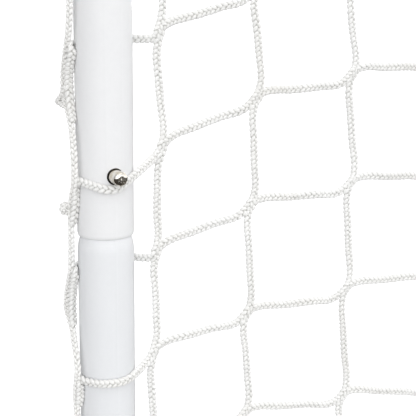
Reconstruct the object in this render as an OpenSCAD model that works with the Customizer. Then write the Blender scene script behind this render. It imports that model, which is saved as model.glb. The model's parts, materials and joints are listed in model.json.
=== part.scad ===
// Portable hockey goal: a push-together frame of white steel tube with spring-button joints,
// and a square-mesh net threaded onto it. Millimetres, +Z up, the mouth faces -Y,
// origin on the floor at the middle of the goal's footprint.

/* [Goal] */
// Width of the mouth over the outside of the posts
goal_w = 1372; // [1100:1:1850]
// Height over the top of the crossbar
goal_h = 1118; // [950:1:1250]
// Depth at the floor over the outside of the frame
goal_d = 610; // [520:1:900]
// Depth of the top shelf, from the posts' axis to the hoop's rear bar
shelf_d = 355; // [280:1:440]
// Drop of the hoop below the top of the crossbar
hoop_drop = 88; // [80:1:140]
// Height of the visible joint line in the posts
post_joint_z = 560; // [400:1:700]

/* [Tube] */
// Outside diameter of the frame tube
tube_d = 25.4; // [24:0.1:27]
// Wall of the frame tube
wall = 1.2; // [1:0.1:1.4]
// Bend radius at the foot of the posts, to the tube's axis
foot_bend = 76; // [60:1:110]
// Bend radius at the top corners, to the tube's axis
corner_bend = 60; // [50:1:66]
// Bend radius at the rear corners of base and hoop, to the tube's axis
rear_bend = 60; // [50:1:90]

/* [Push-fit joints] */
// Radial gap between the reduced end and the tube over it
swage_gap = 0.1; // [0.05:0.05:0.2]
// Length of the reduced end
swage_len = 48; // [42:1:60]
// Distance from the outer tube's end to the snap button
button_up = 28.5; // [24:0.5:32]
// Diameter of the snap button
button_d = 6.4; // [6:0.1:7]
// Hole for the button in the outer tube
button_hole_d = 7.5; // [7.3:0.1:8.5]
// How far the button stands out of the outer tube
button_out = 7.6; // [5:0.1:8]

/* [Bolted ends] */
// Thickness of a flattened tube end
flat_t = 2.6; // [2.4:0.1:3]
// Width of a flattened tube end
flat_w = 36; // [34:1:37]
// Bolt hole diameter
bolt_hole_d = 6.5; // [6.3:0.1:7]

/* [Net] */
// Thickness of the net panels
net_t = 2.2; // [1.6:0.2:2.2]
// Diameter of the border and seam cords
cord_d = 4.4; // [3.6:0.2:4.4]

/* [Hidden] */
$fn = 48;

white = [0.95, 0.955, 0.965];
plate = [0.72, 0.70, 0.66];
netcol = [0.97, 0.965, 0.95];

R = tube_d / 2;              // tube radius
RI = R - wall;               // its bore
RM = RI - swage_gap;         // outside of a reduced end
RMI = RM - wall;             // its bore
cord_off = R + cord_d / 2 + 0.6;
front_over = cord_off + cord_d / 2;          // how far the border cord stands in front of the posts' axis
back_over = R + 1.1 + 0.6 + net_t;           // how far the back net stands behind the rear rail's axis
axis_d = goal_d - tube_d;                    // post axis to rear rail axis
YF = -(axis_d + front_over + back_over) / 2 + front_over;  // posts' axis
YR = YF + axis_d;                            // rear rail's axis
YH = YF + shelf_d;                           // hoop's rear axis
XP = goal_w / 2 - R;                         // posts' axis
ZT = goal_h - R;                             // crossbar's axis
ZH = goal_h - hoop_drop;                     // hoop's axis
ZJ = post_joint_z;
YB = YF + 230;                               // base joint line
XC = -25;                                    // joint line of hoop and rear rail
XH = XP - R - 0.1 - flat_t / 2;              // hoop's side axis
tilt = atan((YR - YH) / (ZH - R));           // lean of the goal's back
span = sqrt(pow(YR - YH, 2) + pow(ZH - R, 2));
leaf_top = 9.1;                              // outer face of the spring leaf from the tube's axis
guide_d = button_d + 0.15;                   // hole in the reduced end that guides the button

// ---------------------------------------------------------------- tube ends

// outside of a reduced end, joint line at z = 0, pointing up
module male_outer() {
  rotate_extrude() polygon([[0, -7], [R, -7], [R - 0.06, -5.6], [R - 0.22, -4.2], [R - 0.5, -2.8],
    [R - 0.86, -1.4], [R - 1.28, 0], [RM, 0.8], [RM, swage_len - 1.2], [RM - 0.8, swage_len], [0, swage_len]]);
}
module male_inner() {
  rotate_extrude() polygon([[0, -10], [RI, -10], [RI, -6], [RMI, 1], [RMI, swage_len + 1], [0, swage_len + 1]]);
}
// outside of a plain end that slides over a reduced one, its rounded lip at z = 0, pointing up
module female_outer() {
  rotate_extrude() polygon([[0, 0], [R - 1.15, 0], [R - 0.72, 0.12], [R - 0.38, 0.42], [R - 0.14, 0.9],
    [R, 1.6], [R, 12], [0, 12]]);
}

// ---------------------------------------------------------------- bent tubes

module bar(len, r) { cylinder(h = len, r = r); }

// quarter bend that starts at angle a0 in the plane of u and v
module bend(rb, r, a0) { rotate([0, 0, a0]) rotate_extrude(angle = 90) translate([rb, 0]) circle(r = r); }

// left lower post: up from the foot, and back along the floor
module lower_post_legs(r, inner) {
  translate([0, 0, R + foot_bend]) bar(ZJ - 7 - R - foot_bend, r);
  translate([0, foot_bend, R + foot_bend]) rotate([90, 0, 90]) bend(foot_bend, r, 180);
  translate([0, foot_bend, R]) rotate([-90, 0, 0]) bar(YB - YF - 7 - foot_bend, r);
  translate([0, 0, ZJ]) if (inner) male_inner(); else male_outer();
  translate([0, YB - YF, R]) rotate([-90, 0, 0]) if (inner) male_inner(); else male_outer();
}
module lower_post() {
  translate([-XP, YF, 0]) difference() {
    lower_post_legs(R, false);
    lower_post_legs(RI, true);
    translate([0, 0, ZJ + button_up]) rotate([0, 90, 0]) cylinder(h = R + 4, d = guide_d);
    translate([0, YB - YF + button_up, R]) rotate([0, 90, 0]) cylinder(h = R + 4, d = guide_d);
  }
}

// upper post with its half of the crossbar, in the left post's frame; len is the crossbar's straight part
module upper_post_legs(r, len, inner) {
  if (inner) translate([0, 0, ZJ - 1]) bar(14, r);
  else translate([0, 0, ZJ]) female_outer();
  translate([0, 0, ZJ + 12]) bar(ZT - corner_bend - ZJ - 12, r);
  translate([corner_bend, 0, ZT - corner_bend]) rotate([90, 0, 0]) bend(corner_bend, r, 90);
  translate([corner_bend, 0, ZT]) rotate([0, 90, 0]) bar(len, r);
}
module post_holes() {
  translate([0, 0, ZJ + button_up]) rotate([0, 90, 0]) cylinder(h = R + 4, d = button_hole_d);
  translate([-R - 4, 0, ZH]) rotate([0, 90, 0]) cylinder(h = 2 * R + 8, d = bolt_hole_d);
}

// left base rail with its half of the rear rail, in the world frame
module base_legs(r, len, inner) {
  if (inner) translate([-XP, YB - 1, R]) rotate([-90, 0, 0]) bar(14, r);
  else translate([-XP, YB, R]) rotate([-90, 0, 0]) female_outer();
  translate([-XP, YB + 12, R]) rotate([-90, 0, 0]) bar(YR - rear_bend - YB - 12, r);
  translate([-XP + rear_bend, YR - rear_bend, R]) bend(rear_bend, r, 90);
  translate([-XP + rear_bend, YR, R]) rotate([0, 90, 0]) bar(len, r);
}
module base_button_hole() {
  translate([-XP, YB + button_up, R]) rotate([0, 90, 0]) cylinder(h = R + 4, d = button_hole_d);
}
module support_hole(y, z) {
  translate([0, y, z]) rotate([tilt, 0, 0]) rotate([90, 0, 0]) cylinder(h = 2 * R + 12, d = bolt_hole_d, center = true);
}

// left top rail: flattened front end, side, rear corner, half of the rear bar
module top_rail_legs(r, len) {
  translate([-XH, YF + 58, ZH]) rotate([-90, 0, 0]) bar(YH - rear_bend - YF - 58, r);
  translate([-XH + rear_bend, YH - rear_bend, ZH]) bend(rear_bend, r, 90);
  translate([-XH + rear_bend, YH, ZH]) rotate([0, 90, 0]) bar(len, r);
}
// flattened end, pointing down -Z from z = 0, thin in x; the round tube starts at z = 46
module flat_end() {
  difference() {
    union() {
      rotate([0, 90, 0]) cylinder(h = flat_t, d = flat_w, center = true);
      translate([-flat_t / 2, -flat_w / 2, 0]) cube([flat_t, flat_w, 20]);
      hull() {
        translate([-flat_t / 2, -flat_w / 2, 19.9]) cube([flat_t, flat_w, 0.1]);
        translate([0, 0, 57]) cylinder(h = 1, r = R, $fn = 32);
      }
    }
    rotate([0, 90, 0]) cylinder(h = flat_t + 4, d = bolt_hole_d, center = true);
  }
}

module left_lower_post() { color(white) lower_post(); }
module right_lower_post() { color(white) mirror([1, 0, 0]) lower_post(); }

module left_upper_post() {
  color(white) translate([-XP, YF, 0]) difference() {
    union() {
      upper_post_legs(R, XP - corner_bend - button_up - 7, false);
      translate([XP - button_up, 0, ZT]) rotate([0, 90, 0]) male_outer();
    }
    upper_post_legs(RI, XP - corner_bend - button_up - 7, true);
    translate([XP - button_up, 0, ZT]) rotate([0, 90, 0]) male_inner();
    post_holes();
    translate([XP, 0, ZT]) rotate([-90, 0, 0]) cylinder(h = R + 4, d = guide_d);
  }
}
module right_upper_post() {
  color(white) mirror([1, 0, 0]) translate([-XP, YF, 0]) difference() {
    union() {
      upper_post_legs(R, XP - corner_bend + button_up - 12, false);
      translate([XP + button_up, 0, ZT]) rotate([0, -90, 0]) female_outer();
    }
    upper_post_legs(RI, XP - corner_bend + button_up - 12, true);
    translate([XP + button_up - 14, 0, ZT]) rotate([0, 90, 0]) bar(16, RI);
    post_holes();
    translate([XP, 0, ZT]) rotate([-90, 0, 0]) cylinder(h = R + 4, d = button_hole_d);
  }
}

module left_base_rail() {
  color(white) difference() {
    union() {
      base_legs(R, XP - rear_bend + XC - 7, false);
      translate([XC, YR, R]) rotate([0, 90, 0]) male_outer();
    }
    base_legs(RI, XP - rear_bend + XC - 7, true);
    translate([XC, YR, R]) rotate([0, 90, 0]) male_inner();
    base_button_hole();
    support_hole(YR, R);
  }
}
module right_base_rail() {
  color(white) difference() {
    union() {
      mirror([1, 0, 0]) base_legs(R, XP - rear_bend - XC - 12, false);
      translate([XC, YR, R]) rotate([0, 90, 0]) female_outer();
    }
    mirror([1, 0, 0]) base_legs(RI, XP - rear_bend - XC - 12, true);
    translate([XC - 2, YR, R]) rotate([0, 90, 0]) bar(16, RI);
    mirror([1, 0, 0]) base_button_hole();
    support_hole(YR, R);
  }
}

module left_top_rail() {
  color(white) {
    difference() {
      union() {
        top_rail_legs(R, XH - rear_bend + XC - 7);
        translate([XC, YH, ZH]) rotate([0, 90, 0]) male_outer();
      }
      top_rail_legs(RI, XH - rear_bend + XC - 7);
      translate([XC, YH, ZH]) rotate([0, 90, 0]) male_inner();
      support_hole(YH, ZH);
    }
    translate([-XH, YF, ZH]) rotate([-90, 0, 0]) flat_end();
  }
}
module right_top_rail() {
  color(white) {
    difference() {
      union() {
        mirror([1, 0, 0]) top_rail_legs(R, XH - rear_bend - XC - 12);
        translate([XC, YH, ZH]) rotate([0, 90, 0]) female_outer();
      }
      mirror([1, 0, 0]) top_rail_legs(RI, XH - rear_bend - XC - 12);
      translate([XC - 2, YH, ZH]) rotate([0, 90, 0]) bar(16, RI);
      support_hole(YH, ZH);
    }
    translate([XH, YF, ZH]) rotate([-90, 0, 0]) flat_end();
  }
}

// the leaning tube at the middle of the back, bolted inside hoop and rear rail
module back_support() {
  off = R + 0.1 + flat_t / 2;
  color(white) difference() {
    translate([0, YR, R]) rotate([tilt, 0, 0]) translate([0, -off, 0]) {
      difference() {
        translate([0, 0, 57.4]) bar(span - 114.8, R);
        translate([0, 0, 57.2]) bar(span - 114.4, RI);
      }
      rotate([0, 0, 90]) flat_end();
      translate([0, 0, span]) mirror([0, 0, 1]) rotate([0, 0, 90]) flat_end();
    }
    // the lower end is trimmed clear of the floor
    translate([-40, YR - 60, -30]) cube([80, 90, 31]);
  }
}

// ---------------------------------------------------------------- bolts

// places children with +X along the bolt, its head side at x = 0 on the tube's surface
module at_bolts() {
  translate([-XP - R, YF, ZH]) children();
  mirror([1, 0, 0]) translate([-XP - R, YF, ZH]) children();
  translate([0, YR, R]) rotate([tilt, 0, 0]) rotate([0, 0, -90]) translate([-R, 0, 0]) children();
  translate([0, YH, ZH]) rotate([tilt, 0, 0]) rotate([0, 0, -90]) translate([-R, 0, 0]) children();
}
grip = 2 * R + 0.1 + flat_t;      // tube and flattened end
module bolt() {
  rotate([0, 90, 0]) {
    translate([0, 0, -0.5]) cylinder(h = grip + 1.6 + 5 + 3.5, r = 3);
    translate([0, 0, -3.6]) rotate_extrude() polygon(concat([[0, 0]],
      [for (a = [10:10:90]) [6.5 * sin(a), 3 * (1 - cos(a))]], [[6.5, 3.55], [0, 3.55]]));
  }
}
module washer() {
  translate([grip + 0.02, 0, 0]) rotate([0, 90, 0]) difference() {
    cylinder(h = 1.5, d = 12);
    translate([0, 0, -1]) cylinder(h = 4, d = 6.4);
  }
}
module nut() {
  translate([grip + 1.56, 0, 0]) rotate([0, 90, 0]) difference() {
    intersection() {
      cylinder(h = 5, r = 10 / sqrt(3), $fn = 6);
      rotate_extrude() polygon([[0, 0], [5.2, 0], [5.8, 0.5], [5.8, 4.5], [5.2, 5], [0, 5]]);
    }
    translate([0, 0, -1]) cylinder(h = 7, d = 6.12);
  }
}
module frame_bolts() { color(plate) at_bolts() bolt(); }
module frame_washers() { color(plate) at_bolts() washer(); }
module frame_nuts() { color(plate) at_bolts() nut(); }

// ---------------------------------------------------------------- snap buttons and their springs

// each joint's frame: origin on the joint line, +Z into the outer tube, +X where the button points
module at_left_post() { translate([-XP, YF, ZJ]) children(); }
module at_right_post() { mirror([1, 0, 0]) at_left_post() children(); }
module at_left_base() { translate([-XP, YB, R]) rotate([-90, 0, 0]) children(); }
module at_right_base() { mirror([1, 0, 0]) at_left_base() children(); }
module at_crossbar() { translate([-button_up, YF, ZT]) rotate([90, 0, 90]) children(); }

// a drawn button with a domed end and a small flange against the leaf
module button() {
  tip = R + button_out;
  br = button_d / 2;
  cap = 1.7;
  translate([leaf_top, 0, button_up]) rotate([0, 90, 0]) translate([0, 0, -leaf_top])
    rotate_extrude() polygon(concat([[0, leaf_top + 0.02], [br + 0.5, leaf_top + 0.02], [br + 0.5, leaf_top + 0.3], [br, leaf_top + 0.32]],
      [for (a = [0:10:90]) [br * (0.35 + 0.65 * cos(a)) - 0.35 * br * (a == 90 ? 1 : 0), tip - cap + cap * sin(a)]]));
}
// the moving leaf: flat under the button, then sloping down to the spring's heel
module leaf() {
  translate([0, 4, button_up]) rotate([90, 0, 0]) linear_extrude(height = 8) polygon([
    [leaf_top, 4.6], [leaf_top - 0.3, 5.2], [leaf_top - 0.8, 5.2], [leaf_top - 0.8, -5.1],
    [leaf_top - 5.9, -19.6], [leaf_top - 5.1, -19.6], [leaf_top, -5.1]]);
}
// the heel that the leaf flexes from, and the leg that lies along the far wall
module heel() {
  c = -28;           // centre of the round heel along the tube
  r = 5.0;           // outside radius of the heel
  x0 = -leaf_top + r;
  translate([0, 4, button_up]) rotate([90, 0, 0]) linear_extrude(height = 8) polygon(concat(
    [[leaf_top - 6.05, -20.0], [leaf_top - 6.85, -20.0]],
    [for (a = [0:-15:-180]) [x0 + (r - 0.8) * cos(a), c + (r - 0.8) * sin(a)]],
    [[-leaf_top + 0.8, 5], [-leaf_top, 5]],
    [for (a = [-180:15:0]) [x0 + r * cos(a), c + r * sin(a)]]));
}

module left_post_snap_button() { color("silver") at_left_post() button(); }
module right_post_snap_button() { color("silver") at_right_post() button(); }
module left_base_snap_button() { color("silver") at_left_base() button(); }
module right_base_snap_button() { color("silver") at_right_base() button(); }
module crossbar_snap_button() { color("silver") at_crossbar() button(); }
module left_post_spring_leaf() { color("dimgray") at_left_post() leaf(); }
module right_post_spring_leaf() { color("dimgray") at_right_post() leaf(); }
module left_base_spring_leaf() { color("dimgray") at_left_base() leaf(); }
module right_base_spring_leaf() { color("dimgray") at_right_base() leaf(); }
module crossbar_spring_leaf() { color("dimgray") at_crossbar() leaf(); }
module spring_heels() {
  color("dimgray") {
    at_left_post() heel();
    at_right_post() heel();
    at_left_base() heel();
    at_right_base() heel();
    at_crossbar() heel();
  }
}

// ---------------------------------------------------------------- net

// the back net's inner face stands this far behind the bars' axes
back_face = R + 1.1;
// side panel: behind the post, over the foot's bend and the base rail, up to the hoop
module side_net() {
  fr = foot_bend - R - 2;
  y1 = YR + (back_face - 3) / cos(tilt);
  y2 = YH + (back_face - 3) / cos(tilt);
  k = (y2 - y1) / (ZH - R);
  zt = ZH + R + 1;
  color(netcol) translate([-XP + net_t / 2, 0, 0]) rotate([90, 0, -90]) linear_extrude(height = net_t)
    mirror([1, 0]) polygon(concat(
      [for (a = [180:15:270]) [YF + foot_bend + fr * cos(a), R + foot_bend + fr * sin(a)]],
      [[y1 + k * (2 * R + 1.6 - R), 2 * R + 1.6], [y2 + k * (zt - ZH), zt], [YF + R + 2, zt]]));
}
module left_side_net() { side_net(); }
module right_side_net() { mirror([1, 0, 0]) side_net(); }
// shelf: from behind the crossbar down to the top of the hoop's rear bar
module top_net() {
  ya = YF + R + 3; za = ZT;
  yb = YH - 2; zb = ZH + R + 2.2;
  a = atan((za - zb) / (yb - ya));
  color(netcol) translate([0, ya, za]) rotate([-a, 0, 0]) difference() {
    translate([-(XH - 0.5), 0, -net_t / 2]) cube([2 * (XH - 0.5), (yb - ya) / cos(a), net_t]);
    // a mesh opening over the crossbar's snap button
    translate([-8, -1, -net_t]) cube([16, 12, 2 * net_t]);
  }
}
module back_net() {
  color(netcol) translate([0, YR, R]) rotate([tilt, 0, 0]) difference() {
    translate([-(XP - 0.3), back_face, -2]) cube([2 * (XP - 0.3), net_t, span + 12]);
    // mesh openings over the two bolt heads
    for (z = [0, span]) translate([-9, back_face - 1, z - 9]) cube([18, net_t + 2, 18]);
  }
}

// ---------------------------------------------------------------- cords

function unit(v) = v / norm(v);
// rings of an eight-sided tube along a path; up is never along the path
function ring(p, t, up, r) = let (a = unit(cross(up, t)), b = cross(t, a))
  [for (i = [0:7]) p + r * (cos(i * 45) * a + sin(i * 45) * b)];
function tangent(path, i) = unit(path[min(i + 1, len(path) - 1)] - path[max(i - 1, 0)]);
module swept(path, d, up) {
  n = len(path);
  pts = [for (i = [0:n - 1]) each ring(path[i], tangent(path, i), up, d / 2)];
  side = [for (i = [0:n - 2], j = [0:7]) [i * 8 + j, i * 8 + (j + 1) % 8, (i + 1) * 8 + (j + 1) % 8, (i + 1) * 8 + j]];
  polyhedron(points = pts, faces = concat([[for (j = [7:-1:0]) j]], [for (f = side) [f[0], f[1], f[2]]],
    [for (f = side) [f[0], f[2], f[3]]], [[for (j = [0:7]) (n - 1) * 8 + j]]), convexity = 10);
}

// border cord in front of the posts and the crossbar
border_half = concat(
  [[-XP, YF - cord_off, 92]],
  [for (z = [150:70:ZT - corner_bend - 20]) [-XP, YF - cord_off, z]],
  [for (a = [180:-15:90]) [-XP + corner_bend + corner_bend * cos(a), YF - cord_off, ZT - corner_bend + corner_bend * sin(a)]],
  [for (x = [-XP + corner_bend + 60:90:-40]) [x, YF - cord_off, ZT]]);
function mirrored(path) = [for (i = [len(path) - 1:-1:0]) [-path[i][0], path[i][1], path[i][2]]];
module front_border_cord() { color(netcol) swept(concat(border_half, mirrored(border_half)), cord_d, [0, 1, 0]); }

// border cord low on the outside of the base
base_off = 12;
base_z = cord_d / 2 + 0.3;
rc = rear_bend + base_off;
base_half = concat(
  [for (y = [YF + foot_bend + 6:60:YR - rear_bend - 20]) [-XP - base_off, y, base_z]],
  [for (a = [180:-15:90]) [-XP + rear_bend + rc * cos(a), YR - rear_bend + rc * sin(a), base_z]],
  [for (x = [-XP + rear_bend + 50:90:-40]) [x, YR + base_off, base_z]]);
module base_border_cord() { color(netcol) swept(concat(base_half, mirrored(base_half)), cord_d, [0, 0, 1]); }

// seam cord: down the edge of the shelf, round the hoop's corner, down the rear corner
module seam_cord() {
  s = 1.7;
  top = [-(XP - 7), YF + R + 8, ZT - 5];
  hoop = [-(XP - 7), YH - 16, ZH + R + 4.6];
  a = [-(XP + 2), YH + 4, ZH + R + 6];
  b = [-(XP + 5), YH + 15, ZH + 6];
  c = [-(XP + 5), YR + 11, 24];
  color(netcol) swept(concat([for (t = [0:0.125:1]) top + t * (hoop - top)], [a],
    [for (t = [0:0.0625:1]) b + t * (c - b)]), 2 * s, [1, 0.01, 0.02]);
}
module left_seam_cord() { seam_cord(); }
module right_seam_cord() { mirror([1, 0, 0]) seam_cord(); }

left_lower_post();
right_lower_post();
left_upper_post();
right_upper_post();
left_base_rail();
right_base_rail();
left_top_rail();
right_top_rail();
back_support();
frame_bolts();
frame_washers();
frame_nuts();
left_post_snap_button();
right_post_snap_button();
left_base_snap_button();
right_base_snap_button();
crossbar_snap_button();
left_post_spring_leaf();
right_post_spring_leaf();
left_base_spring_leaf();
right_base_spring_leaf();
crossbar_spring_leaf();
spring_heels();
left_side_net();
right_side_net();
top_net();
back_net();
front_border_cord();
base_border_cord();
left_seam_cord();
right_seam_cord();
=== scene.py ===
import json
import math
import numpy as np
import bpy
from mathutils import Matrix, Vector


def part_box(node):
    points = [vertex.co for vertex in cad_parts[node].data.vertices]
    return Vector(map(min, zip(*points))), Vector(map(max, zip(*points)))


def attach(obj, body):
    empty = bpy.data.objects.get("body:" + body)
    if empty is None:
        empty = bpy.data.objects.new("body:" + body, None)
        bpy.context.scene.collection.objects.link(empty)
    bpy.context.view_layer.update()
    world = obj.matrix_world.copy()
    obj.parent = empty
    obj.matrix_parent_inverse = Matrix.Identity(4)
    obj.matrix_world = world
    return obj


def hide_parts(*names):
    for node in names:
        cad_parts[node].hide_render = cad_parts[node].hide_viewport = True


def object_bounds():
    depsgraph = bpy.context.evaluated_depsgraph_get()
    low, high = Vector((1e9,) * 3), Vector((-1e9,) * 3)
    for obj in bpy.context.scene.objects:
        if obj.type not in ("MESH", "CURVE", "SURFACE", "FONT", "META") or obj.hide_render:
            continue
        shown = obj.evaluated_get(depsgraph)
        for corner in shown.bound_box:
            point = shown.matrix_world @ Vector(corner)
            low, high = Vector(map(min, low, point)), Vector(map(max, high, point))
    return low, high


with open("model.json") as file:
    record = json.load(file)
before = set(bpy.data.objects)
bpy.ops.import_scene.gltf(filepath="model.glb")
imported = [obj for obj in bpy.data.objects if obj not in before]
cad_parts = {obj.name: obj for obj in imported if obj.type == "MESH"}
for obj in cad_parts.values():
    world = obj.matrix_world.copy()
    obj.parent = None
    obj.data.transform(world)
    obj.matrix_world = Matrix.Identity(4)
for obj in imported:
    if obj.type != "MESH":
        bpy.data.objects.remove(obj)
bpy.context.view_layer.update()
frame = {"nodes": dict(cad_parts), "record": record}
MM = 0.001
scene = bpy.context.scene

# ------------------------------------------------------------------ the frame's own lines
R = 0.0127
_lo, _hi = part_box("left_upper_post")
XP = -(_lo.x + R)                      # post axis, |x|
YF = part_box("left_lower_post")[0].y + R - 0.00005
YF = (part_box("left_upper_post")[0].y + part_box("left_upper_post")[1].y) / 2
ZT = _hi.z - R                         # crossbar axis
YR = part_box("left_base_rail")[1].y - R  # rear rail axis
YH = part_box("left_top_rail")[1].y - R   # hoop's rear bar axis
ZH = (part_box("left_top_rail")[0].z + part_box("left_top_rail")[1].z) / 2
XH = -(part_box("left_top_rail")[0].x + R)   # the hoop's sides
BEND_F, BEND_T, BEND_R = 0.076, 0.060, 0.060
_a, _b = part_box("left_post_snap_button")
Z_BUTTON = (_a.z + _b.z) / 2


def unit(v):
    v = np.asarray(v, float)
    return v / np.maximum(np.linalg.norm(v, axis=-1, keepdims=True), 1e-12)


def smooth(t):
    t = np.clip(t, 0, 1)
    return t * t * (3 - 2 * t)


# ------------------------------------------------------------------ camera
cam_data = bpy.data.cameras.new("camera")
cam = bpy.data.objects.new("camera", cam_data)
scene.collection.objects.link(cam)
right = unit([0.450931, 0.892507, 0.009589])
fwd = unit([-0.871426, 0.442553, -0.211577])
up = np.cross(right, fwd)
right = np.cross(fwd, up)
cam.matrix_world = Matrix((
    (right[0], up[0], -fwd[0], -0.278645),
    (right[1], up[1], -fwd[1], -0.440557),
    (right[2], up[2], -fwd[2], 0.663356),
    (0, 0, 0, 1)))
cam_data.sensor_width = 36
cam_data.lens = 82.74
cam_data.clip_start, cam_data.clip_end = 0.01, 100
scene.camera = cam

# ------------------------------------------------------------------ materials


class Nodes:
    def __init__(self, name):
        self.mat = bpy.data.materials.new(name)
        self.mat.use_nodes = True
        self.t = self.mat.node_tree
        self.t.nodes.clear()
        self.out = self.add("ShaderNodeOutputMaterial")
        self.bsdf = self.add("ShaderNodeBsdfPrincipled")
        self.link(self.bsdf.outputs[0], self.out.inputs[0])

    def add(self, kind, **props):
        n = self.t.nodes.new(kind)
        for k, v in props.items():
            setattr(n, k, v)
        return n

    def link(self, a, b):
        self.t.links.new(a, b)

    def noise(self, vec, scale, detail=3.0, rough=0.5):
        n = self.add("ShaderNodeTexNoise")
        n.inputs["Scale"].default_value = scale
        n.inputs["Detail"].default_value = detail
        n.inputs["Roughness"].default_value = rough
        self.link(vec, n.inputs["Vector"])
        return n.outputs["Fac"]

    def ramp(self, fac, stops):
        n = self.add("ShaderNodeValToRGB")
        e = n.color_ramp.elements
        while len(e) < len(stops):
            e.new(0.5)
        for el, (p, c) in zip(e, stops):
            el.position = p
            el.color = (*c, 1) if len(c) == 3 else c
        self.link(fac, n.inputs[0])
        return n.outputs[0]

    def math(self, op, a, b=None, clamp=False):
        n = self.add("ShaderNodeMath", operation=op, use_clamp=clamp)
        for i, v in enumerate((a, b)):
            if v is None:
                continue
            if isinstance(v, (int, float)):
                n.inputs[i].default_value = v
            else:
                self.link(v, n.inputs[i])
        return n.outputs[0]

    def maprange(self, v, a, b, c, d):
        n = self.add("ShaderNodeMapRange")
        self.link(v, n.inputs["Value"])
        n.inputs["From Min"].default_value, n.inputs["From Max"].default_value = a, b
        n.inputs["To Min"].default_value, n.inputs["To Max"].default_value = c, d
        return n.outputs[0]

    def bump(self, height, strength, distance, normal=None):
        n = self.add("ShaderNodeBump")
        n.inputs["Strength"].default_value = strength
        n.inputs["Distance"].default_value = distance
        self.link(height, n.inputs["Height"])
        if normal is not None:
            self.link(normal, n.inputs["Normal"])
        return n.outputs[0]

    def position(self):
        return self.add("ShaderNodeTexCoord").outputs["Object"]


def powder_coat(name, k):
    """Satin white powder coat. k multiplies the colour: the lower posts and the top rails get a slightly darker, bluer
    copy.
    """
    m = Nodes(name)
    p = m.position()
    drift = m.noise(p, 9.0, 3.0, 0.6)
    speck = m.noise(p, 420.0, 2.0, 0.6)
    fac = m.math("ADD", m.math("MULTIPLY", drift, 0.75), m.math("MULTIPLY", speck, 0.25))
    t = lambda *c: tuple(a * b for a, b in zip(c, k))
    col = m.ramp(fac, [(0.30, t(0.782, 0.785, 0.790)), (0.52, t(0.812, 0.814, 0.818)), (0.72, t(0.834, 0.836, 0.838))])
    # painted shade: inside the post's button hole, below the paint, the colour is near black for the shadow in the gap
    # round the button
    xyz = m.add("ShaderNodeSeparateXYZ")
    m.link(p, xyz.inputs[0])
    reach = m.math("SUBTRACT", XP, m.math("ABSOLUTE", xyz.outputs[0]))
    dy, dz = m.math("SUBTRACT", xyz.outputs[1], YF), m.math("SUBTRACT", xyz.outputs[2], Z_BUTTON)
    rho = m.math("SQRT", m.math("ADD", m.math("MULTIPLY", dy, dy), m.math("MULTIPLY", dz, dz)))
    hole_painted_shade = m.math("MULTIPLY", m.math("MULTIPLY", m.math("LESS_THAN", reach, R - 0.0009), m.math("LESS_THAN", rho, 0.0043)), m.math("GREATER_THAN", reach, 0.0))
    mix = m.add("ShaderNodeMix", data_type="RGBA")
    m.link(hole_painted_shade, mix.inputs[0])
    m.link(col, mix.inputs[6])
    m.link(m.ramp(m.noise(p, 900.0, 3.0, 0.6), [(0.3, (0.045, 0.038, 0.030)), (0.7, (0.12, 0.105, 0.085))]), mix.inputs[7])
    m.link(mix.outputs[2], m.bsdf.inputs["Base Color"])
    rough = m.maprange(m.noise(p, 60.0, 4.0, 0.6), 0.3, 0.7, 0.30, 0.42)
    m.link(rough, m.bsdf.inputs["Roughness"])
    m.bsdf.inputs["IOR"].default_value = 1.46
    peel = m.noise(p, 620.0, 2.0, 0.45)
    wave = m.noise(p, 70.0, 2.0, 0.5)
    n1 = m.bump(wave, 0.10, 0.0006)
    n2 = m.bump(peel, 0.16, 0.00012, n1)
    m.link(n2, m.bsdf.inputs["Normal"])
    return m.mat


def nickel():
    m = Nodes("nickel_plate")
    p = m.position()
    stain = m.noise(p, 330.0, 3.0, 0.6)
    col = m.ramp(stain, [(0.35, (0.66, 0.60, 0.49)), (0.55, (0.80, 0.765, 0.70)), (0.75, (0.86, 0.84, 0.80))])
    m.link(col, m.bsdf.inputs["Base Color"])
    m.bsdf.inputs["Metallic"].default_value = 1.0
    scr = m.add("ShaderNodeTexNoise")
    scr.inputs["Scale"].default_value = 1.0
    scr.inputs["Detail"].default_value = 4.0
    mp = m.add("ShaderNodeMapping")
    mp.inputs["Scale"].default_value = (700.0, 5200.0, 2600.0)
    m.link(p, mp.inputs["Vector"])
    m.link(mp.outputs[0], scr.inputs["Vector"])
    m.link(m.maprange(scr.outputs["Fac"], 0.3, 0.7, 0.03, 0.12), m.bsdf.inputs["Roughness"])
    m.link(m.bump(scr.outputs["Fac"], 0.05, 0.00002), m.bsdf.inputs["Normal"])
    return m.mat


def zinc():
    m = Nodes("zinc_plate")
    p = m.position()
    v = m.add("ShaderNodeTexVoronoi")
    v.inputs["Scale"].default_value = 620.0
    m.link(p, v.inputs["Vector"])
    col = m.ramp(m.noise(p, 260.0, 4.0, 0.6), [(0.3, (0.50, 0.50, 0.49)), (0.55, (0.66, 0.66, 0.66)), (0.75, (0.76, 0.755, 0.73))])
    m.link(col, m.bsdf.inputs["Base Color"])
    m.bsdf.inputs["Metallic"].default_value = 1.0
    m.link(m.maprange(v.outputs["Distance"], 0.0, 0.7, 0.24, 0.40), m.bsdf.inputs["Roughness"])
    m.link(m.bump(m.noise(p, 1500.0, 3.0, 0.6), 0.2, 0.00005), m.bsdf.inputs["Normal"])
    return m.mat


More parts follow.
